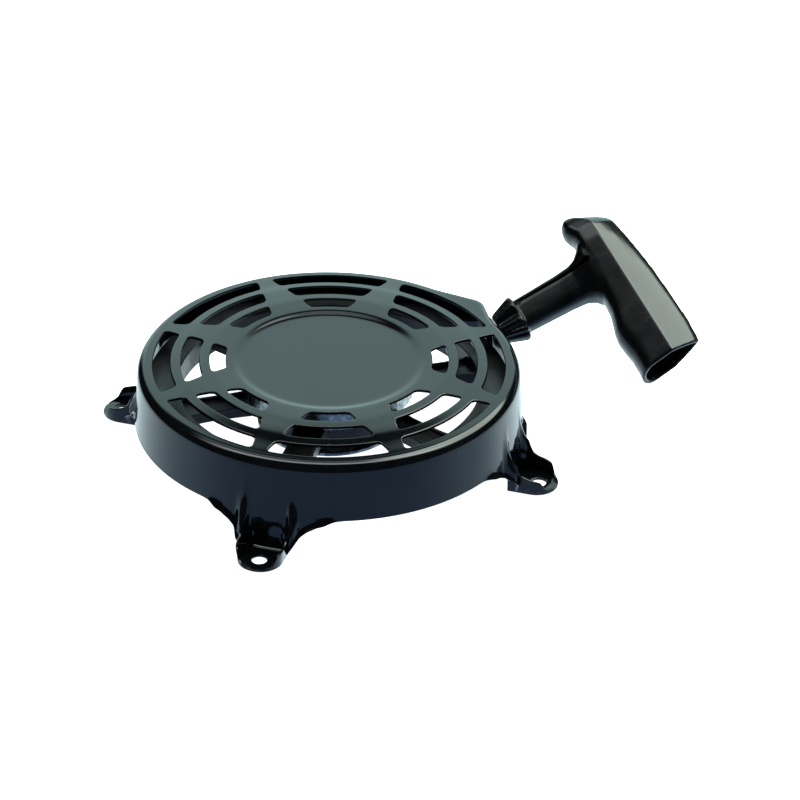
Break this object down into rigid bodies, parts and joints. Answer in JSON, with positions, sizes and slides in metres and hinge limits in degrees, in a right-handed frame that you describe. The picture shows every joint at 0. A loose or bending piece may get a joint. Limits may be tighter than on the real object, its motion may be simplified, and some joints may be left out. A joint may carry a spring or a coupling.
{
  "type": "recoil starter",
  "caption": "Recoil starter of a small gasoline engine: round black pressed-steel housing with arc cooling slots, mounting ears, rope pulley, rewind spring, pawls and a T-grip.",
  "frame": {"origin": "centre of the housing's recessed top disc, on the crankshaft axis", "axes": "+Z along the crankshaft axis, up and away from the engine; +X towards the side the rope leaves"},
  "size_m": [0.302, 0.2248, 0.0875],
  "materials": {
    "black_enamel": "gloss",
    "zinc_plated_steel": "satin",
    "spring_steel": "satin",
    "hardened_steel": "satin",
    "sintered_bronze": "matte",
    "glass_filled_nylon": "matte",
    "braided_rope": "matte",
    "grip_plastic": "satin"
  },
  "bodies": {
    "housing": {"housing": "black_enamel", "rope_eyelet": "zinc_plated_steel", "spring_cup": "zinc_plated_steel", "centre_post": "zinc_plated_steel", "rewind_spring": "spring_steel", "spring_keeper": "zinc_plated_steel", "rope_lead": "braided_rope", "brake_spring": "spring_steel", "thrust_washer": "zinc_plated_steel", "centre_screw": "zinc_plated_steel"},
    "pulley": {"pulley": "glass_filled_nylon", "pulley_bush": "sintered_bronze", "rope_wound": "braided_rope", "pulley_knot": "braided_rope", "pawl_pin_1": "zinc_plated_steel", "pawl_pin_2": "zinc_plated_steel", "pawl_spring_1": "spring_steel", "pawl_spring_2": "spring_steel"},
    "friction_plate": {"friction_plate": "hardened_steel"},
    "pawl_1": {"pawl_1": "hardened_steel"},
    "pawl_2": {"pawl_2": "hardened_steel"},
    "grip": {"grip": "grip_plastic", "rope_tail": "braided_rope", "grip_washer": "zinc_plated_steel", "grip_knot": "braided_rope"}
  },
  "joints": [
    {"name": "grip_pull", "type": "slide", "parent": "housing", "child": "grip", "axis": [0.866, 0.309, 0.393], "range_m": [0, 0.9], "stiffness_N_per_m": 13, "springref_m": -0.6, "deforming": ["rope_lead"]},
    {"name": "pulley_spin", "type": "hinge", "parent": "housing", "child": "pulley", "pos_m": [0, 0, -0.018], "axis": [0, 0, 1], "range_deg": [-600, 0]},
    {"name": "plate_lag", "type": "hinge", "parent": "pulley", "child": "friction_plate", "pos_m": [0, 0, -0.0325], "axis": [0, 0, 1], "range_deg": [0, 30], "stiffness_Nm_per_rad": 0.01},
    {"name": "pawl_1_swing", "type": "hinge", "parent": "pulley", "child": "pawl_1", "pos_m": [0.02462, 0.00434, -0.03], "axis": [0, 0, 1], "range_deg": [0, 30]},
    {"name": "pawl_2_swing", "type": "hinge", "parent": "pulley", "child": "pawl_2", "pos_m": [-0.02462, -0.00434, -0.03], "axis": [0, 0, 1], "range_deg": [0, 30]}
  ],
  "couplings": [
    {"joint": "pulley_spin", "follows": "grip_pull", "rad_per_m": -11.601},
    {"joint": "pawl_1_swing", "follows": "plate_lag", "ratio": 1},
    {"joint": "pawl_2_swing", "follows": "plate_lag", "ratio": 1}
  ]
}
